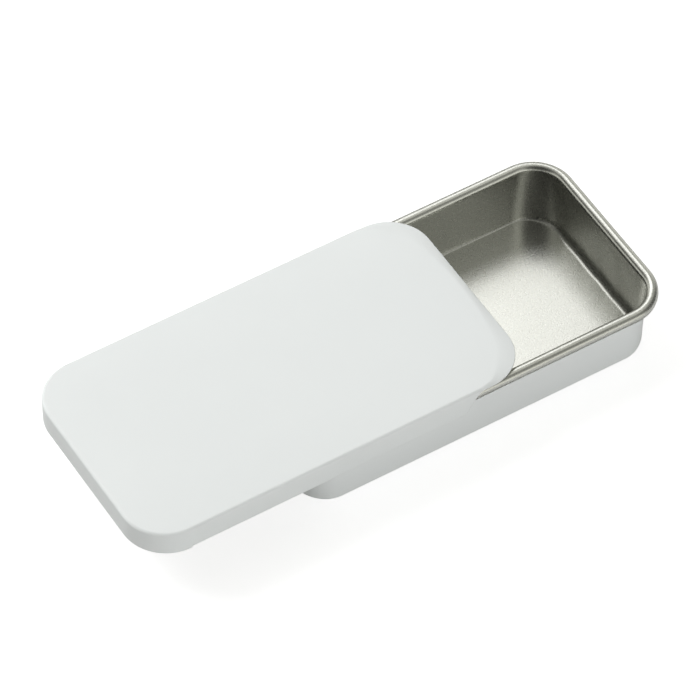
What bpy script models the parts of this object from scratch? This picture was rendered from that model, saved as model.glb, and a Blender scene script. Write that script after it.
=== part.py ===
"""A pocket tin with a sliding lid, pressed from two pieces of tinplate.

Metres, +Z up, at real size. The tray stands on z = 0 with its centre on the origin and its length
along X. The lid runs along X on the tray's curled rim. Here it is drawn back towards -X, so that
the tray's +X end is uncovered. It closes towards +X and comes right off towards -X.

Both pieces are modelled as one open surface of sheet metal, pulled out ring by ring from a flat
panel, and then given the thickness of the sheet.
"""

import math

import bmesh
import bpy
from mathutils import Vector

# Sheet metal and the tray's driving sizes
SHEET = 0.00022
RIM_LENGTH = 0.0591
RIM_WIDTH = 0.0324
RIM_HEIGHT = 0.0105
RIM_CORNER = 0.00625
CURL_RADIUS = 0.00086
CURL_SWEEP = math.radians(300)
SIDE_FILLET = 0.00045
END_FILLET = 0.0009
END_LEAN = 0.00015

# Clearances between the lid and the rim that it runs on
SIDE_PLAY = 0.00013
END_PLAY = 0.00023
LIP_PLAY = 0.00033
RAIL_PLAY = 0.0005
RAIL_WALL_GAP = 0.00043

# The lid's own sizes
LID_OPENED = 0.0237
TOP_BEND = 0.00045
RAIL_BEND = 0.00045
RAIL_RISE = math.radians(32)
RAIL_RELIEF = 0.00025
RAIL_TIP_BACK = 0.0006
SKIRT_SETBACK = 0.0015
SKIRT_CUT_BACK = 0.0024
SKIRT_CUT_EASE = 0.72
SKIRT_CUT_SHARES = (0.15, 0.3, 0.6, 1.0)
LIP_BAND = 0.0012
LIP_CORNER_BAND = 0.0027
LIP_RUN = 0.0085
OPEN_END_SHARES = (0.28, 0.54, 0.78)

# Steps of the round stretches
CORNER_STEPS = 11
CURL_STEPS = 20
FILLET_STEPS = 4
BEND_STEPS = 5
RAIL_STEPS = 5
SMOOTH_ANGLE = math.radians(35)

# Sizes that follow from those above
WALL_INSET = 2 * CURL_RADIUS
LID_LENGTH = RIM_LENGTH + 2 * (END_PLAY + SHEET)
LID_WIDTH = RIM_WIDTH + 2 * (SIDE_PLAY + SHEET)
LID_CORNER = RIM_CORNER + SIDE_PLAY + SHEET
LID_TOP = RIM_HEIGHT + LIP_PLAY + SHEET + TOP_BEND
LIP_LEVEL = LID_TOP - TOP_BEND
LID_HALF_END = LID_WIDTH / 2 - LID_CORNER
LID_HALF_SIDE = LID_LENGTH / 2 - LID_CORNER
LID_HALF_ARC = LID_CORNER * math.pi / 4


class Station:
    """A place on a rounded outline: a corner's centre, the way out from it, and its radius.

    On the lid's open end, lip is how far in from the edge the sheet starts to bend down.
    """

    def __init__(self, centre, outward, radius, lip=None):
        self.centre = Vector(centre)
        self.outward = Vector(outward)
        self.radius = radius
        self.lip = lip

    def at(self, inset, level):
        """The point this far in from the outline, at this height."""
        flat = self.centre + self.outward * (self.radius - inset)
        return Vector((flat.x, flat.y, level))


def corner_stations(length, width, radius, side_x, side_y):
    """The stations round one corner of an outline, anticlockwise."""
    centre = (side_x * (length / 2 - radius), side_y * (width / 2 - radius))
    first = math.atan2(side_y, side_x) - math.pi / 4
    turns = [first + math.pi / 2 * step / CORNER_STEPS for step in range(CORNER_STEPS + 1)]
    return [Station(centre, (math.cos(turn), math.sin(turn)), radius) for turn in turns]


def arc(inset, level, radius, start, sweep, steps):
    """(inset, level) pairs along an arc of a section. Angles start outward and rise towards +Z."""
    angles = [start + sweep * step / steps for step in range(steps + 1)]
    return [(inset - radius * math.cos(turn), level + radius * math.sin(turn)) for turn in angles]


def start_panel(bm, places):
    """A flat panel facing up, as a ring of vertex to key that can be pulled out."""
    verts = [bm.verts.new(place) for place in places]
    bm.faces.new(verts)
    return {vert: key for key, vert in enumerate(verts)}


def pull_out(bm, ring, places):
    """Extrudes the open edges of a ring whose two keys have new places, and moves them there.

    Returns the new ring, of vertex to key.
    """
    edges = []
    for edge in {edge for vert in ring for edge in vert.link_edges if edge.is_boundary}:
        keys = [ring.get(vert) for vert in edge.verts]
        if all(key in places for key in keys):
            edges.append(edge)
    sources = {vert for edge in edges for vert in edge.verts}
    made = bmesh.ops.extrude_edge_only(bm, edges=edges)["geom"]
    grown = {}
    for vert in [item for item in made if isinstance(item, bmesh.types.BMVert)]:
        for edge in vert.link_edges:
            source = edge.other_vert(vert)
            if source in sources:
                grown[vert] = ring[source]
    for vert, key in grown.items():
        vert.co = places[key]
    return grown


def metal(name, colour, roughness, metallic):
    """A Principled material."""
    material = bpy.data.materials.new(name)
    material.use_nodes = True
    shader = material.node_tree.nodes["Principled BSDF"]
    shader.inputs["Base Color"].default_value = (*colour, 1.0)
    shader.inputs["Roughness"].default_value = roughness
    shader.inputs["Metallic"].default_value = metallic
    return material


def sheet_piece(name, bm, face, back, collection):
    """Makes the open surface an object of solid sheet, with the thickness behind its faces."""
    mesh = bpy.data.meshes.new(name)
    bm.to_mesh(mesh)
    bm.free()
    mesh.shade_smooth()
    mesh.set_sharp_from_angle(angle=SMOOTH_ANGLE)
    mesh.materials.append(face)
    mesh.materials.append(back)
    piece = bpy.data.objects.new(name, mesh)
    collection.objects.link(piece)
    thickness = piece.modifiers.new("sheet", "SOLIDIFY")
    thickness.thickness = SHEET
    thickness.offset = -1.0
    thickness.use_even_offset = True
    thickness.material_offset = 1
    return piece


def tray_section(station):
    """The tray's inner face at a station, from the floor's edge to the curl's tip.

    Gives (inset, level) pairs. The two end walls lean in a little and have a wider fillet.
    """
    end_share = station.outward.x ** 2
    radius = SIDE_FILLET + (END_FILLET - SIDE_FILLET) * end_share
    inset = WALL_INSET + END_LEAN * end_share + radius
    quarter = math.pi / 2
    fillet = arc(inset, SHEET + radius, radius, -quarter, quarter, FILLET_STEPS)
    curl_level = RIM_HEIGHT - CURL_RADIUS
    curl = arc(CURL_RADIUS, curl_level, CURL_RADIUS, math.pi, -CURL_SWEEP, CURL_STEPS)
    return fillet + curl


def build_tray(collection, bare, enamel):
    """The drawn tray: a flat floor, a filleted wall, and a rim curled outwards and down."""
    stations = []
    for side_x, side_y in ((1, 1), (-1, 1), (-1, -1), (1, -1)):
        stations += corner_stations(RIM_LENGTH, RIM_WIDTH, RIM_CORNER, side_x, side_y)
    sections = [tray_section(station) for station in stations]
    rings = [[station.at(*point) for station, point in zip(stations, points)]
             for points in zip(*sections)]
    bm = bmesh.new()
    ring = start_panel(bm, rings[0])
    for places in rings[1:]:
        ring = pull_out(bm, ring, dict(enumerate(places)))
    return sheet_piece("tray", bm, bare, enamel, collection)


def lip_band(distance, run, base):
    """The lip's width this far round from a corner's middle. It falls to base over the run."""
    near_share = 0.5 + 0.5 * math.cos(math.pi * min(1.0, distance / (LID_HALF_ARC + run)))
    return base + (LIP_CORNER_BAND - base) * near_share


def open_end_station(end_share):
    """A station on the open end's straight edge, end_share being 1 where the corner starts."""
    y = LID_HALF_END * end_share
    distance = LID_HALF_ARC + LID_HALF_END - abs(y)
    return Station((LID_HALF_SIDE, y), (1, 0), LID_CORNER, lip_band(distance, LIP_RUN, LIP_BAND))


def open_corner(side_y):
    """The stations of a corner at the open end, where the lip is widest."""
    corner = corner_stations(LID_LENGTH, LID_WIDTH, LID_CORNER, 1, side_y)
    for step, station in enumerate(corner):
        along = LID_HALF_ARC * (2 * step / CORNER_STEPS - 1) * side_y
        if along > 0:
            station.lip = lip_band(along, SKIRT_SETBACK, TOP_BEND)
        else:
            station.lip = lip_band(-along, LIP_RUN, LIP_BAND)
    return corner


def lid_stations():
    """The lid's stations, anticlockwise from the middle of the open end."""
    front = LID_HALF_SIDE - SKIRT_SETBACK
    rail_end = RAIL_RELIEF - LID_HALF_SIDE
    far_side = [Station((x, LID_HALF_END), (0, 1), LID_CORNER) for x in (front, 0, rail_end)]
    near_side = [Station((x, -LID_HALF_END), (0, -1), LID_CORNER) for x in (rail_end, 0, front)]
    closed = corner_stations(LID_LENGTH, LID_WIDTH, LID_CORNER, -1, 1)
    closed += corner_stations(LID_LENGTH, LID_WIDTH, LID_CORNER, -1, -1)
    far_end = [open_end_station(share) for share in (0, *OPEN_END_SHARES)]
    near_end = [open_end_station(-share) for share in reversed(OPEN_END_SHARES)]
    return far_end + open_corner(1) + far_side + closed + near_side + open_corner(-1) + near_end


def top_edge(station, share):
    """A point of the top's edge: a tight bend into the skirt, or the open end's gentle lip."""
    if station.lip is None:
        turn = share * math.pi / 2
        inset = TOP_BEND * (1 - math.sin(turn))
        return station.at(inset, LIP_LEVEL + TOP_BEND * math.cos(turn))
    return station.at(station.lip * (1 - share), LID_TOP - TOP_BEND * share ** 2)


def rail_section():
    """The rail's outer face as (inset, height above its foot) pairs, out to its tip."""
    sweep = -(math.pi / 2 + RAIL_RISE)
    bend = arc(RAIL_BEND, RAIL_BEND, RAIL_BEND, 0.0, sweep, RAIL_STEPS)
    tip_inset = SIDE_PLAY + WALL_INSET - RAIL_WALL_GAP
    last_inset, last_height = bend[-1]
    return bend[1:] + [(tip_inset, last_height + (tip_inset - last_inset) * math.tan(RAIL_RISE))]


def build_lid(collection, enamel, bare):
    """The sliding lid: a flat top, a skirt on three sides, and a rail along each long side."""
    stations = lid_stations()
    rail = rail_section()
    rail_height = rail[-1][1] + SHEET / math.cos(RAIL_RISE)
    foot = RIM_HEIGHT - WALL_INSET - RAIL_PLAY - rail_height
    skirted = [key for key, station in enumerate(stations) if station.lip is None]
    fronts = (skirted[0], skirted[-1])
    railed = [key for key in skirted if stations[key].centre.x > -LID_HALF_SIDE]

    def cut_back(place, key, back):
        """Moves a point of the skirt's slanting front edge back towards the closed end."""
        if key in fronts:
            place.x -= back
        return place

    bm = bmesh.new()
    ring = start_panel(bm, [top_edge(station, 0.0) for station in stations])
    for step in range(1, BEND_STEPS + 1):
        places = [top_edge(station, step / BEND_STEPS) for station in stations]
        ring = pull_out(bm, ring, dict(enumerate(places)))
    for share in SKIRT_CUT_SHARES:
        places = {}
        for key in skirted:
            end = foot + RAIL_BEND if key in railed else foot
            place = stations[key].at(0.0, LIP_LEVEL + (end - LIP_LEVEL) * share)
            places[key] = cut_back(place, key, SKIRT_CUT_BACK * share ** SKIRT_CUT_EASE)
        ring = pull_out(bm, ring, places)
    for step, (inset, height) in enumerate(rail, start=1):
        back = SKIRT_CUT_BACK + RAIL_TIP_BACK * step / len(rail)
        places = {}
        for key in railed:
            places[key] = cut_back(stations[key].at(inset, foot + height), key, back)
        ring = pull_out(bm, ring, places)
    return sheet_piece("slide_lid", bm, enamel, bare, collection)


def clear_scene():
    """Removes whatever the scene held."""
    for old in list(bpy.data.objects):
        bpy.data.objects.remove(old)


def main():
    """Builds the tin, with the lid carried by an empty on its line of travel."""
    clear_scene()
    collection = bpy.data.collections.new("slide_tin")
    bpy.context.scene.collection.children.link(collection)
    enamel = metal("white_enamel", (0.80, 0.82, 0.81), 0.35, 0.0)
    bare = metal("bare_tinplate", (0.62, 0.62, 0.59), 0.25, 1.0)
    build_tray(collection, bare, enamel)
    lid = build_lid(collection, enamel, bare)
    runner = bpy.data.objects.new("lid_slide", None)
    collection.objects.link(runner)
    runner.location.x = -LID_OPENED
    lid.parent = runner


main()
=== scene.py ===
"""A slide-lid tin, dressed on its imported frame: fine meshes, finishes, studio and camera.

Both pieces are one sheet of tinplate each. A flat panel is cut to its outline, and its border is
extruded ring by ring along the section of the wall, curl, skirt or rail. Solidify then gives the
sheet its thickness, with its own finish on the face, on the back and on the cut edge.
"""

import logging
import math
from collections.abc import Callable
from dataclasses import dataclass
from enum import Enum

import bmesh
import bpy
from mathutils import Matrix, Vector


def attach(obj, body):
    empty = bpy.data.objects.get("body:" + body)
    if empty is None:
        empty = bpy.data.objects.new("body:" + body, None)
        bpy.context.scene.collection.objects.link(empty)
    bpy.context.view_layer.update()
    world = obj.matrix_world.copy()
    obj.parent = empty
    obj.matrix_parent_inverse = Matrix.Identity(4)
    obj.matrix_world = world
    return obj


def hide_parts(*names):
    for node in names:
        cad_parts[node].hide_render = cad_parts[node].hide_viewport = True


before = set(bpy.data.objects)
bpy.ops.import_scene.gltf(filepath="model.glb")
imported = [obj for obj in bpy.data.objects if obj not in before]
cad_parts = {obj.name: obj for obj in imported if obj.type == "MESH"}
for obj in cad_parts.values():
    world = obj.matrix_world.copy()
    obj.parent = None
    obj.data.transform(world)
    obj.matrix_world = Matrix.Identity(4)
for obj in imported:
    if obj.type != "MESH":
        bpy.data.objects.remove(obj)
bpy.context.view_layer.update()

MM = 0.001
SAME_PLACE = 1e-9  # Metres. Places nearer to each other than this are one.
ON_A_CUT = 1e-7  # Metres. A vertex nearer to a cut than this isn't split off it.
NOISE_MIDDLE = 0.5
WHITE = (1.0, 1.0, 1.0, 1.0)
LOG = logging.getLogger("slide_tin")

Value = "float | int | tuple | Sock"
Ring = "dict[bmesh.types.BMVert, Station]"


class Side(Enum):
    """The surfaces of a sheet, numbered as its material slots are."""

    FACE = 0
    BACK = 1
    CUT = 2


class Piece(Enum):
    """The two pressings: the piece's name, its body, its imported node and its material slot."""

    TRAY = ("drawn_tray", "tray", "tray", "bare_tinplate")
    LID = ("sliding_lid", "lid", "slide_lid", "white_enamel")


class Sock:
    """A shader socket. Arithmetic on it adds Math nodes to its graph."""

    def __init__(self, graph: "Graph", socket: bpy.types.NodeSocket | None) -> None:
        """Wraps an output socket of the graph, or None for a node that has no output."""
        self.graph = graph
        self.socket = socket

    def math(self, operation: str, first: Value, second: Value) -> "Sock":
        """Adds one Math node."""
        return self.graph.node("ShaderNodeMath", {"operation": operation}, {0: first, 1: second})

    def __add__(self, other: Value) -> "Sock":
        """Sum."""
        return self.math("ADD", self, other)

    def __radd__(self, other: Value) -> "Sock":
        """Sum, reflected."""
        return self.math("ADD", other, self)

    def __sub__(self, other: Value) -> "Sock":
        """Difference."""
        return self.math("SUBTRACT", self, other)

    def __rsub__(self, other: Value) -> "Sock":
        """Difference, reflected."""
        return self.math("SUBTRACT", other, self)

    def __mul__(self, other: Value) -> "Sock":
        """Product."""
        return self.math("MULTIPLY", self, other)

    def __rmul__(self, other: Value) -> "Sock":
        """Product, reflected."""
        return self.math("MULTIPLY", other, self)


class Graph:
    """The node tree of a material or of the world."""

    def __init__(self, tree: bpy.types.NodeTree) -> None:
        """Starts with an empty tree."""
        self.tree = tree
        tree.nodes.clear()

    def node(self, kind: str, settings: dict[str, object] | None = None,
             values: dict[str | int, Value] | None = None, output: str | int = 0) -> Sock:
        """Adds a node.

        Args:
            kind: The node's type.
            settings: Its own settings, which are set first.
            values: Numbers, colours or sockets for its inputs.
            output: The output that is wanted.

        Returns:
            That output, wrapped.
        """
        made = self.tree.nodes.new(kind)
        for name, value in (settings or {}).items():
            setattr(made, name, value)
        for name, value in (values or {}).items():
            if isinstance(value, Sock):
                self.tree.links.new(value.socket, made.inputs[name])
            else:
                made.inputs[name].default_value = value
        return Sock(self, made.outputs[output] if len(made.outputs) else None)

    def smooth_step(self, value: Sock, low: float, high: float) -> Sock:
        """A soft 0 to 1 step of a value between two limits."""
        return self.node("ShaderNodeMapRange", {"interpolation_type": "SMOOTHSTEP"},
                         {"Value": value, "From Min": low, "From Max": high}, "Result")

    def blend(self, share: Sock, first: tuple, second: tuple) -> Sock:
        """A colour between two others."""
        factor, colour_a, colour_b, result = 0, 6, 7, 2
        values = {factor: share, colour_a: (*first, 1.0), colour_b: (*second, 1.0)}
        return self.node("ShaderNodeMix", {"data_type": "RGBA"}, values, result)


def surface_graph(name: str) -> tuple[bpy.types.Material, Graph]:
    """A new material and its empty graph."""
    material = bpy.data.materials.new(name)
    material.use_nodes = True
    return material, Graph(material.node_tree)


@dataclass(frozen=True)
class Finish:
    """What every finish of the tin has: a name, noise, relief and a Principled shader."""

    name: str
    octaves: float = 2.0

    def noise(self, graph: Graph, place: Sock, size: float, stretch: tuple = (1, 1, 1)) -> Sock:
        """Noise whose features are about one size.

        Args:
            graph: The material's graph.
            place: The coordinates.
            size: The features' size, in metres.
            stretch: How much longer the features are along each axis.

        Returns:
            The noise, from 0 to 1.
        """
        scale = tuple(1.0 / (size * share) for share in stretch)
        spaced = graph.node("ShaderNodeMapping", None, {"Vector": place, "Scale": scale})
        return graph.node("ShaderNodeTexNoise", None,
                          {"Vector": spaced, "Scale": 1.0, "Detail": self.octaves})

    def relief(self, graph: Graph, height: Sock, depth: float) -> Sock:
        """A bump that is this deep, in metres, where the height goes from 0 to 1."""
        return graph.node("ShaderNodeBump", None,
                          {"Strength": 1.0, "Distance": depth, "Height": height})

    def surface(self, graph: Graph, values: dict[str, Value]) -> None:
        """Ends a material in a Principled shader with these inputs."""
        shader = graph.node("ShaderNodeBsdfPrincipled", None, values)
        graph.node("ShaderNodeOutputMaterial", None, {"Surface": shader})


@dataclass(frozen=True)
class Enamel(Finish):
    """Satin white enamel, rolled on to flat tinplate and baked."""

    tone: tuple = (0.800, 0.825, 0.830)
    tone_low: tuple = (0.780, 0.805, 0.812)
    roughness: float = 0.42
    roughness_play: float = 0.08
    cloud_size: float = 9 * MM
    peel_size: float = 0.9 * MM
    peel_depth: float = 3e-6
    speck_size: float = 0.16 * MM
    speck_depth: float = 6e-7

    def material(self) -> bpy.types.Material:
        """Builds the material.

        Returns:
            A material with faint tone changes, orange peel and a fine tooth.
        """
        material, graph = surface_graph(self.name)
        place = graph.node("ShaderNodeTexCoord", output="Object")
        cloud = self.noise(graph, place, self.cloud_size)
        peel = self.noise(graph, place, self.peel_size)
        speck = self.noise(graph, place, self.speck_size)
        rough = self.roughness + (speck - NOISE_MIDDLE) * self.roughness_play
        height = peel + speck * (self.speck_depth / self.peel_depth)
        bump = self.relief(graph, height, self.peel_depth)
        colour = graph.blend(cloud, self.tone_low, self.tone)
        self.surface(graph, {"Base Color": colour, "Roughness": rough, "Normal": bump})
        return material


@dataclass(frozen=True)
class Tinplate(Finish):
    """Bare tinplate: a satin metal with a stippled grain and faint rolling lines."""

    tone: tuple = (0.805, 0.81, 0.77)
    tone_low: tuple = (0.755, 0.76, 0.715)
    roughness: float = 0.28
    roughness_play: float = 0.07
    cloud_size: float = 7 * MM
    grain_size: float = 0.24 * MM
    grain_depth: float = 1.05e-5
    line_size: float = 0.12 * MM
    line_stretch: float = 26.0
    line_share: float = 0.35

    def material(self) -> bpy.types.Material:
        """Builds the material.

        Returns:
            A metal whose roughness, tone and bump follow the sheet's grain.
        """
        material, graph = surface_graph(self.name)
        place = graph.node("ShaderNodeTexCoord", output="Object")
        cloud = self.noise(graph, place, self.cloud_size)
        grain = self.noise(graph, place, self.grain_size)
        lines = self.noise(graph, place, self.line_size, (self.line_stretch, 1, 1))
        rough = self.roughness + (grain - NOISE_MIDDLE) * self.roughness_play
        height = grain + lines * self.line_share
        bump = self.relief(graph, height, self.grain_depth)
        colour = graph.blend(cloud, self.tone_low, self.tone)
        self.surface(graph, {"Base Color": colour, "Metallic": 1.0, "Roughness": rough,
                             "Normal": bump})
        return material


@dataclass(frozen=True)
class CutEdge(Finish):
    """The sheet's sheared edge: dull grey steel with a fine burr."""

    tone: tuple = (0.46, 0.46, 0.45)
    tone_low: tuple = (0.28, 0.28, 0.27)
    roughness: float = 0.38
    burr_size: float = 0.09 * MM
    burr_depth: float = 5e-6

    def material(self) -> bpy.types.Material:
        """Builds the material.

        Returns:
            A metal with a broken tone and a rough burr.
        """
        material, graph = surface_graph(self.name)
        place = graph.node("ShaderNodeTexCoord", output="Object")
        burr = self.noise(graph, place, self.burr_size)
        bump = self.relief(graph, burr, self.burr_depth)
        colour = graph.blend(burr, self.tone_low, self.tone)
        self.surface(graph, {"Base Color": colour, "Metallic": 1.0,
                             "Roughness": self.roughness, "Normal": bump})
        return material


@dataclass
class Station:
    """A place on a rounded outline: its corner's centre, the way out, and the corner's radius."""

    centre: Vector
    outward: Vector
    radius: float

    def at(self, inset: float, level: float) -> Vector:
        """The point this far in from the outline, at this height."""
        flat = self.centre + self.outward * (self.radius - inset)
        return Vector((flat.x, flat.y, level))


@dataclass
class Outline:
    """A rounded rectangle about the origin. Cuts across it give its border more points."""

    length: float
    width: float
    corner: float
    corner_steps: int = 24
    cuts_x: tuple[float, ...] = ()
    cuts_y: tuple[float, ...] = ()

    @property
    def half_side(self) -> float:
        """Half the straight stretch of a long side."""
        return self.length / 2 - self.corner

    @property
    def half_end(self) -> float:
        """Half the straight stretch of an end."""
        return self.width / 2 - self.corner

    @property
    def half_arc(self) -> float:
        """Half the length of a corner's arc."""
        return self.corner * math.pi / 4

    def station(self, place: Vector) -> Station:
        """The station of a point on the outline."""
        x = max(-self.half_side, min(self.half_side, place.x))
        y = max(-self.half_end, min(self.half_end, place.y))
        centre = Vector((x, y, 0.0))
        outward = Vector((place.x, place.y, 0.0)) - centre
        return Station(centre, outward.normalized(), self.corner)

    def panel(self, bm: bmesh.types.BMesh) -> Ring:
        """Makes the flat panel, facing up.

        Args:
            bm: The mesh that it is made in.

        Returns:
            The border's vertices, each with its station.
        """
        corners = bmesh.ops.create_grid(bm, x_segments=1, y_segments=1, size=1.0)["verts"]
        reach = max(vert.co.x for vert in corners)
        size = Vector((self.length / 2 / reach, self.width / 2 / reach, 1.0))
        bmesh.ops.scale(bm, verts=corners, vec=size)
        bmesh.ops.bevel(bm, geom=corners, offset=self.corner, offset_type="OFFSET",
                        segments=self.corner_steps, profile=0.5, affect="VERTICES", material=-1)
        cuts = [((x, 0, 0), (1, 0, 0)) for x in self.cuts_x]
        cuts += [((0, y, 0), (0, 1, 0)) for y in self.cuts_y]
        for place, normal in cuts:
            everything = bm.verts[:] + bm.edges[:] + bm.faces[:]
            bmesh.ops.bisect_plane(bm, geom=everything, dist=ON_A_CUT, plane_co=place,
                                   plane_no=normal)
        return {vert: self.station(vert.co) for vert in bm.verts if vert.is_boundary}


def arc(inset: float, level: float, radius: float, start: float, sweep: float,
        steps: int) -> list[tuple[float, float]]:
    """Points along an arc of a section.

    Args:
        inset: The arc's centre, as its distance in from the outline.
        level: The centre's height.
        radius: The arc's radius.
        start: The first angle. Angles start outward and rise towards +Z.
        sweep: The angle that the arc covers.
        steps: The number of steps along it.

    Returns:
        (inset, level) pairs.
    """
    angles = [start + sweep * step / steps for step in range(steps + 1)]
    return [(inset - radius * math.cos(turn), level + radius * math.sin(turn)) for turn in angles]


def spread(first: float, last: float, count: int) -> tuple[float, ...]:
    """Evenly spaced values, both ends included."""
    return tuple(first + (last - first) * step / (count - 1) for step in range(count))


def number_by_place(parts: bmesh.types.BMVertSeq | bmesh.types.BMEdgeSeq | bmesh.types.BMFaceSeq,
                    middle: Callable[..., Vector]) -> None:
    """Numbers a mesh's vertices, edges or faces by where they are.

    The extrude operator numbers them differently on each run.

    Args:
        parts: The mesh's vertices, edges or faces.
        middle: Gives the middle of one of them.
    """
    ordered = sorted(parts, key=lambda part: tuple(middle(part)))
    ranks = {part: rank for rank, part in enumerate(ordered)}
    parts.sort(key=lambda part: ranks[part])


@dataclass
class Pressing:
    """A piece pressed from one sheet of tinplate."""

    piece: Piece
    finishes: dict[Side, bpy.types.Material]
    sheet: float = 0.22 * MM
    edge_round: float = 0.10 * MM
    edge_steps: int = 2
    edge_angle: float = math.radians(50)

    def pull_out(self, bm: bmesh.types.BMesh, ring: Ring,
                 place: Callable[[Station], Vector | None]) -> Ring:
        """Extrudes a ring's border edges and moves the new ones into place.

        Args:
            bm: The mesh.
            ring: The border's vertices, each with its station.
            place: Where a station's new point goes, or None where the sheet stops.

        Returns:
            The new ring.
        """
        going = {vert: place(station) for vert, station in ring.items()}
        border = {edge for vert in ring for edge in vert.link_edges if edge.is_boundary}
        edges = [edge for edge in border
                 if all(going.get(vert) is not None for vert in edge.verts)]
        sources = {vert for edge in edges for vert in edge.verts}
        made = bmesh.ops.extrude_edge_only(bm, edges=edges)["geom"]
        grown = {}
        for vert in (item for item in made if isinstance(item, bmesh.types.BMVert)):
            for edge in vert.link_edges:
                source = edge.other_vert(vert)
                if source in sources:
                    grown[vert] = source
        for vert, source in grown.items():
            vert.co = going[source]
        return {vert: ring[source] for vert, source in grown.items()}

    def finish(self, bm: bmesh.types.BMesh) -> bpy.types.Object:
        """Turns the open surface into the finished piece on its body.

        Args:
            bm: The mesh of the sheet's face. It is freed.

        Returns:
            The piece.
        """
        name, body, node, slot = self.piece.value
        mesh = bpy.data.meshes.new(name)
        number_by_place(bm.verts, lambda vert: vert.co)
        number_by_place(bm.edges, lambda edge: edge.verts[0].co + edge.verts[1].co)
        number_by_place(bm.faces, lambda face: face.calc_center_median())
        bm.to_mesh(mesh)
        bm.free()
        mesh.shade_smooth()
        for side in Side:
            mesh.materials.append(self.finishes[side])
        made = bpy.data.objects.new(name, mesh)
        bpy.context.scene.collection.objects.link(made)
        wall = made.modifiers.new("sheet", "SOLIDIFY")
        wall.thickness = self.sheet
        wall.offset = -1.0
        wall.use_even_offset = True
        wall.material_offset = Side.BACK.value
        wall.material_offset_rim = Side.CUT.value
        rounding = made.modifiers.new("cut_edges", "BEVEL")
        rounding.width = self.edge_round
        rounding.segments = self.edge_steps
        rounding.limit_method = "ANGLE"
        rounding.angle_limit = self.edge_angle
        rounding.material = Side.CUT.value
        rounding.harden_normals = True
        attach(made, body)
        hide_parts(node)
        return made


@dataclass
class Tray(Pressing):
    """The drawn tray, with its rim curled outwards and down."""

    length: float = 59.1 * MM
    width: float = 32.4 * MM
    height: float = 10.5 * MM
    corner: float = 6.25 * MM
    curl_radius: float = 0.86 * MM
    curl_sweep: float = math.radians(300)
    side_fillet: float = 0.36 * MM
    end_fillet: float = 0.9 * MM
    end_lean: float = 0.15 * MM
    end_bow: float = 0.12 * MM
    foot_ease: float = 0.7 * MM
    ripple: float = 0.035 * MM
    ripple_length: float = 5.5 * MM
    second_ripple_share: float = 0.6
    second_ripple_pace: float = 2.3
    second_ripple_start: float = 1.0
    fillet_steps: int = 8
    curl_steps: int = 40
    wall_shares: tuple[float, ...] = (0.14, 0.28, 0.43, 0.57, 0.72, 0.86)
    corner_cuts: int = 5
    side_cuts: int = 9
    end_cuts: int = 25

    def foot_draw(self, outline: Outline, station: Station) -> float:
        """How far the foot's wider corner draws the wall in below the rim.

        Args:
            outline: The rim's outline.
            station: A place on it.

        Returns:
            The distance between the two outlines there.
        """
        ease = self.foot_ease
        radius = self.corner - 2 * self.curl_radius
        wide = radius + ease
        past = Vector((abs(station.centre.x) - outline.half_side + ease,
                       abs(station.centre.y) - outline.half_end + ease))
        if min(past) <= 0:
            return 0.0
        way = Vector((abs(station.outward.x), abs(station.outward.y)))
        along = past.dot(way)
        return radius + along - math.sqrt(along ** 2 - past.dot(past) + wide ** 2)

    def section(self, outline: Outline, station: Station) -> list[tuple[float, float]]:
        """The inner face's section at a station.

        Args:
            outline: The rim's outline.
            station: A place on it.

        Returns:
            (inset, level) pairs, from the floor's edge to the curl's tip.
        """
        end_share = station.outward.x ** 2
        radius = self.side_fillet + (self.end_fillet - self.side_fillet) * end_share
        turn = 2 * math.pi * station.centre.y / self.ripple_length
        second_turn = self.second_ripple_pace * turn + self.second_ripple_start
        waves = math.sin(turn) + self.second_ripple_share * math.sin(second_turn)
        ripple = self.ripple * end_share * waves
        wall = 2 * self.curl_radius
        foot = wall + self.end_lean * end_share + self.foot_draw(outline, station)
        fillet = arc(foot + ripple + radius, self.sheet + radius, radius, -math.pi / 2,
                     math.pi / 2, self.fillet_steps)
        curl = arc(self.curl_radius, self.height - self.curl_radius, self.curl_radius, math.pi,
                   -self.curl_sweep, self.curl_steps)
        start = Vector(fillet[-1])
        rise = Vector(curl[0]) - start
        bow = Vector((self.end_bow * end_share, 0.0))
        # The bow's share of its depth, 4 s (1 - s), is 0 at the wall's ends and 1 halfway up.
        flat = [start + rise * share + bow * 4 * share * (1 - share) for share in self.wall_shares]
        return fillet + [tuple(point) for point in flat] + curl

    def build(self) -> bpy.types.Object:
        """Makes the tray.

        Returns:
            The piece.
        """
        outline = Outline(self.length, self.width, self.corner)
        corner = outline.half_side
        eased = corner - self.foot_ease
        outline.cuts_x = (*spread(-corner, -eased, self.corner_cuts)[1:],
                          *spread(-eased, eased, self.side_cuts)[1:-1],
                          *spread(eased, corner, self.corner_cuts)[:-1])
        outline.cuts_y = spread(-outline.half_end, outline.half_end, self.end_cuts)[1:-1]
        bm = bmesh.new()
        ring = outline.panel(bm)
        stations = list(ring.values())
        sections = {id(station): self.section(outline, station) for station in stations}
        bmesh.ops.translate(bm, verts=bm.verts[:], vec=(0.0, 0.0, self.sheet))
        for vert, station in ring.items():
            vert.co = station.at(*sections[id(station)][0])
        for rank in range(1, len(sections[id(stations[0])])):
            ring = self.pull_out(
                bm, ring, lambda station: station.at(*sections[id(station)][rank]))
        return self.finish(bm)


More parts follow.
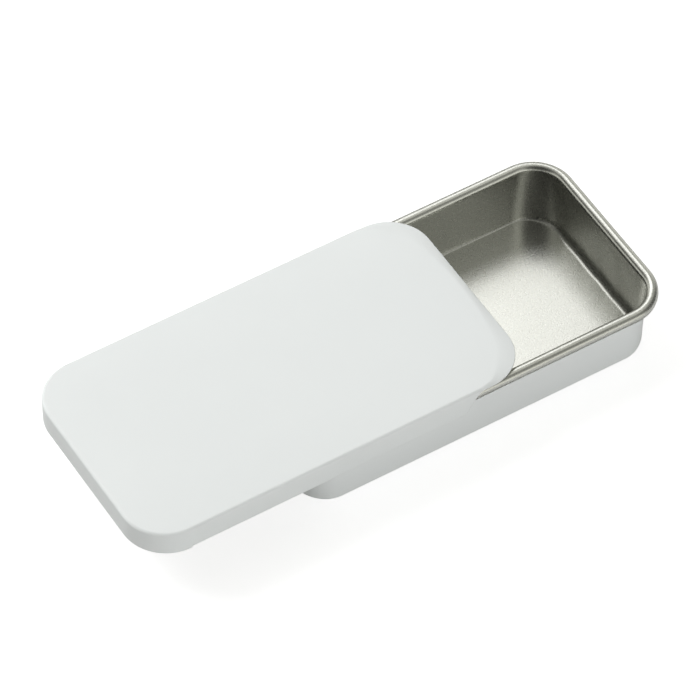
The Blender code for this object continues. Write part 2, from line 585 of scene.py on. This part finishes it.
@dataclass
class SlideLid(Pressing):
    """The sliding lid: a flat top, a skirt on three sides, a lip, and a rail on each long side."""

    tray: Tray | None = None
    opened: float = 23.7 * MM
    side_play: float = 0.13 * MM
    end_play: float = 0.23 * MM
    lip_play: float = 0.33 * MM
    rail_play: float = 0.50 * MM
    rail_wall_gap: float = 0.43 * MM
    top_bend: float = 0.45 * MM
    rail_bend: float = 0.45 * MM
    rail_rise: float = math.radians(32)
    rail_relief: float = 0.25 * MM
    rail_tip_back: float = 0.6 * MM
    skirt_setback: float = 1.5 * MM
    skirt_cut_back: float = 2.4 * MM
    skirt_cut_ease: float = 0.72
    lip_band: float = 1.2 * MM
    lip_corner_band: float = 2.7 * MM
    lip_run: float = 8.5 * MM
    lip_ease: float = 1.6
    bend_steps: int = 10
    skirt_steps: int = 12
    rail_steps: int = 10
    rail_cuts: int = 6
    last_rail_cut: float = 8 * MM
    end_cuts: int = 13

    def __post_init__(self) -> None:
        """Works out the lid's outline, levels and rail from the tray's rim."""
        self.outline = Outline(self.tray.length + 2 * (self.end_play + self.sheet),
                               self.tray.width + 2 * (self.side_play + self.sheet),
                               self.tray.corner + self.side_play + self.sheet)
        self.front = self.outline.half_side - self.skirt_setback
        self.rail_end = self.rail_relief - self.outline.half_side
        last_cut = self.front - self.last_rail_cut
        half_end = self.outline.half_end
        self.outline.cuts_x = (*spread(self.rail_end, last_cut, self.rail_cuts), self.front,
                               self.front + self.skirt_setback / 2)
        self.outline.cuts_y = spread(-half_end, half_end, self.end_cuts)[1:-1]
        self.lip_level = self.tray.height + self.lip_play + self.sheet
        self.top = self.lip_level + self.top_bend
        self.rail = self.rail_section()
        rail_height = self.rail[-1][1] + self.sheet / math.cos(self.rail_rise)
        curl_foot = self.tray.height - 2 * self.tray.curl_radius
        self.foot = curl_foot - self.rail_play - rail_height

    def lip(self, station: Station) -> float | None:
        """How far in from the edge the open end's lip starts to bend down.

        Args:
            station: A place on the lid's outline.

        Returns:
            The lip's width there, or None where the edge has a tight bend into the skirt.
        """
        outline = self.outline
        if station.centre.x <= self.front + SAME_PLACE:
            return None
        # How far the place lies past the corner's middle, along the edge towards the skirt.
        turned = abs(math.atan2(station.outward.y, station.outward.x))
        along = outline.corner * (turned - math.pi / 4)
        if abs(station.centre.y) < outline.half_end - SAME_PLACE:
            along -= outline.half_end - abs(station.centre.y)
        if station.centre.x < outline.half_side - SAME_PLACE:
            along += outline.half_side - station.centre.x
        if along > 0:
            run, base = self.skirt_setback, self.top_bend
        else:
            run, base = self.lip_run, self.lip_band
        share = min(1.0, abs(along) / (outline.half_arc + run))
        near = 0.5 + 0.5 * math.cos(math.pi * share)
        return base + (self.lip_corner_band - base) * near

    def edge(self, station: Station, share: float) -> Vector:
        """A point of the top's edge, from the flat at 0 to its lowest at 1."""
        lip = self.lip(station)
        if lip is None:
            turn = share * math.pi / 2
            return station.at(self.top_bend * (1 - math.sin(turn)),
                              self.lip_level + self.top_bend * math.cos(turn))
        return station.at(lip * (1 - share), self.top - self.top_bend * share ** self.lip_ease)

    def rail_section(self) -> list[tuple[float, float]]:
        """The rail's outer face as (inset, height above its foot) pairs, out to its tip."""
        bend = arc(self.rail_bend, self.rail_bend, self.rail_bend, 0.0,
                   -(math.pi / 2 + self.rail_rise), self.rail_steps)
        tip_inset = self.side_play + 2 * self.tray.curl_radius - self.rail_wall_gap
        inset, height = bend[-1]
        return bend[1:] + [(tip_inset, height + (tip_inset - inset) * math.tan(self.rail_rise))]

    def railed(self, station: Station) -> bool:
        """Whether a rail follows the skirt here."""
        return self.lip(station) is None and station.centre.x >= self.rail_end - SAME_PLACE

    def cut_back(self, station: Station, place: Vector, back: float) -> Vector:
        """Moves a point of the skirt's front edge back towards the closed end."""
        if abs(station.centre.x - self.front) < SAME_PLACE:
            place.x -= back
        return place

    def skirt(self, station: Station, share: float) -> Vector | None:
        """A point of the skirt.

        Args:
            station: A place on the lid's outline.
            share: How far down the skirt the point is, from 0 to 1.

        Returns:
            The point, or None where the edge has a lip in place of a skirt.
        """
        if self.lip(station) is not None:
            return None
        end = self.foot + self.rail_bend if self.railed(station) else self.foot
        place = station.at(0.0, self.lip_level + (end - self.lip_level) * share)
        return self.cut_back(station, place, self.skirt_cut_back * share ** self.skirt_cut_ease)

    def fold(self, station: Station, step: int) -> Vector | None:
        """A point of the rail.

        Args:
            station: A place on the lid's outline.
            step: The point's number in the rail's section.

        Returns:
            The point, or None where the skirt has no rail.
        """
        if not self.railed(station):
            return None
        inset, height = self.rail[step]
        back = self.skirt_cut_back + self.rail_tip_back * (step + 1) / len(self.rail)
        return self.cut_back(station, station.at(inset, self.foot + height), back)

    def build(self) -> bpy.types.Object:
        """Makes the lid, drawn back as far as it is open.

        Returns:
            The piece.
        """
        bm = bmesh.new()
        ring = self.outline.panel(bm)
        bmesh.ops.translate(bm, verts=bm.verts[:], vec=(0.0, 0.0, self.top))
        for vert, station in ring.items():
            vert.co = self.edge(station, 0.0)
        for step in range(1, self.bend_steps + 1):
            ring = self.pull_out(
                bm, ring, lambda station: self.edge(station, step / self.bend_steps))
        for step in range(1, self.skirt_steps + 1):
            ring = self.pull_out(
                bm, ring, lambda station: self.skirt(station, step / self.skirt_steps))
        for step in range(len(self.rail)):
            ring = self.pull_out(bm, ring, lambda station: self.fold(station, step))
        bmesh.ops.translate(bm, verts=bm.verts[:], vec=(-self.opened, 0.0, 0.0))
        return self.finish(bm)


@dataclass
class Softbox:
    """A square area lamp that faces the tin."""

    name: str
    direction: tuple[float, float, float]
    distance: float
    size: float
    radiance: float
    in_reflections: bool = True

    def build(self) -> None:
        """Adds the lamp to the scene."""
        lamp = bpy.data.lights.new(self.name, "AREA")
        lamp.size = self.size
        lamp.energy = self.radiance * math.pi * self.size ** 2
        stand = bpy.data.objects.new(self.name, lamp)
        bpy.context.scene.collection.objects.link(stand)
        way = Vector(self.direction).normalized()
        stand.location = way * self.distance
        stand.rotation_mode = "QUATERNION"
        stand.rotation_quaternion = (-way).to_track_quat("-Z", "Y")
        stand.visible_glossy = self.in_reflections
        stand.visible_camera = False


@dataclass(frozen=True)
class Patch:
    """A round patch of the room that is darker or lighter than what lies around it.

    Its edge and core are cosines of the angle from its middle. From the edge in to the core, the
    room's light changes smoothly, by up to the given change times itself.
    """

    way: tuple[float, float, float]
    edge: float
    core: float
    change: float


@dataclass
class Studio:
    """The white table, the room's light, the lamps and the camera."""

    table_size: float = 3.0
    table_drop: float = 0.02 * MM
    table_tone: tuple = (0.52, 0.52, 0.52)
    table_lift: float = 0.77
    table_gleam: float = 0.05
    low_light: float = 0.66
    high_light: float = 0.30
    high_from: float = 0.25
    high_to: float = 0.70
    patches: tuple[Patch, ...] = (
        # On the camera's side, reflected in the tray's far corner and far wall.
        Patch((-0.55, -0.45, 0.70), 0.72, 0.92, -0.85),
        Patch((0.05, -0.633, 0.774), 0.945, 0.99, 0.9),
        Patch((0.45, -0.58, 0.67), 0.90, 0.97, -0.41),
        # Behind the tin, reflected in the tray's end wall.
        Patch((-0.62, 0.54, 0.56), 0.945, 0.985, -0.9),
        Patch((-0.33, 0.54, 0.77), 0.975, 0.998, 0.7),
        # Overhead, reflected in the top of the rim.
        Patch((0.33, 0.05, 0.94), 0.94, 0.985, 1.1),
        # Low down all round, reflected in the sides of the rim.
        Patch((0.93, -0.25, 0.20), 0.75, 0.95, -0.85),
        Patch((0.33, 0.92, 0.20), 0.86, 0.96, -0.5),
        Patch((0.33, -0.93, 0.05), 0.80, 0.95, 0.3),
    )
    room_tone: tuple = (1.0, 1.0, 0.92)
    azimuth: float = math.radians(-31.507)
    elevation: float = math.radians(50.48)
    distance: float = 0.75892
    aim: tuple[float, float, float] = (-0.008506, 0.006626, 0.0)
    focal_pixels: float = 5527.66
    frame_pixels: float = 700
    nearest_share: float = 0.1
    farthest_share: float = 20
    lamps: tuple[Softbox, ...] = (
        Softbox("backdrop_softbox", (0.16, 0.66, 0.71), 0.8, 0.50, 1.30),
        Softbox("back_fill", (-0.37, 0.62, 0.70), 1.2, 0.8, 6.0, False),
        Softbox("front_fill", (0.08, -0.98, 0.13), 1.2, 0.6, 6.2, False),
    )

    def build_table(self) -> None:
        """Makes the pale table: white to the camera, greyer to the metal, with a shadow."""
        bm = bmesh.new()
        bmesh.ops.create_grid(bm, x_segments=1, y_segments=1, size=self.table_size / 2)
        bmesh.ops.translate(bm, verts=bm.verts[:], vec=(0.0, 0.0, -self.table_drop))
        mesh = bpy.data.meshes.new("table")
        bm.to_mesh(mesh)
        bm.free()
        table = bpy.data.objects.new("table", mesh)
        bpy.context.scene.collection.objects.link(table)
        material, graph = surface_graph("white_table")
        seen = graph.node("ShaderNodeLightPath", output="Is Camera Ray")
        shone = graph.node("ShaderNodeLightPath", output="Is Glossy Ray")
        lift = graph.node("ShaderNodeEmission", None, {
            "Color": WHITE, "Strength": seen * self.table_lift + shone * self.table_gleam})
        paint = graph.node("ShaderNodeBsdfDiffuse", None, {"Color": (*self.table_tone, 1.0)})
        both = graph.node("ShaderNodeAddShader", None, {0: paint, 1: lift})
        graph.node("ShaderNodeOutputMaterial", None, {"Surface": both})
        mesh.materials.append(material)

    def build_room(self) -> None:
        """Lights the room softly: brighter low down, with patches, and white to the camera."""
        world = bpy.data.worlds.new("room")
        world.use_nodes = True
        bpy.context.scene.world = world
        graph = Graph(world.node_tree)
        way = graph.node("ShaderNodeTexCoord", output="Generated")
        height = graph.node("ShaderNodeSeparateXYZ", None, {"Vector": way}, "Z")
        high = graph.smooth_step(height, self.high_from, self.high_to)
        level = self.low_light + high * (self.high_light - self.low_light)
        for patch in self.patches:
            facing = graph.node("ShaderNodeVectorMath", {"operation": "DOT_PRODUCT"},
                                {0: way, 1: tuple(Vector(patch.way).normalized())}, "Value")
            inside = graph.smooth_step(facing, patch.edge, patch.core)
            level = level * (1.0 + inside * patch.change)
        glow = graph.node("ShaderNodeBackground", None, {
            "Color": (*self.room_tone, 1.0), "Strength": level})
        white = graph.node("ShaderNodeBackground", None, {"Color": WHITE, "Strength": 1.0})
        seen = graph.node("ShaderNodeLightPath", output="Is Camera Ray")
        both = graph.node("ShaderNodeMixShader", None, {0: seen, 1: glow, 2: white})
        graph.node("ShaderNodeOutputWorld", None, {"Surface": both})

    def build_camera(self) -> None:
        """Places the camera at the photograph's angle."""
        data = bpy.data.cameras.new("camera")
        camera = bpy.data.objects.new("camera", data)
        bpy.context.scene.collection.objects.link(camera)
        flat = math.cos(self.elevation)
        back = Vector((math.sin(self.azimuth) * flat, -math.cos(self.azimuth) * flat,
                       math.sin(self.elevation)))
        camera.location = Vector(self.aim) + back * self.distance
        camera.rotation_mode = "QUATERNION"
        camera.rotation_quaternion = (-back).to_track_quat("-Z", "Y")
        data.lens = self.focal_pixels / self.frame_pixels * data.sensor_width
        data.clip_start = self.distance * self.nearest_share
        data.clip_end = self.distance * self.farthest_share
        bpy.context.scene.camera = camera

    def build(self) -> None:
        """Builds the whole studio."""
        self.build_table()
        self.build_room()
        for lamp in self.lamps:
            lamp.build()
        self.build_camera()
        bpy.context.scene.view_settings.view_transform = "Standard"


def main() -> None:
    """Builds the tin and its studio."""
    logging.basicConfig(level=logging.INFO, format="%(name)s: %(message)s")
    enamel = Enamel("white_enamel_satin").material()
    tinplate = Tinplate("bare_tinplate_satin").material()
    cut = CutEdge("sheared_edge").material()
    tray = Tray(Piece.TRAY, {Side.FACE: tinplate, Side.BACK: enamel, Side.CUT: cut})
    lid = SlideLid(Piece.LID, {Side.FACE: enamel, Side.BACK: tinplate, Side.CUT: cut}, tray=tray)
    for part in (tray, lid):
        made = part.build()
        LOG.info("%s: %d faces", made.name, len(made.data.polygons))
    Studio().build()


if __name__ == "__main__":
    main()
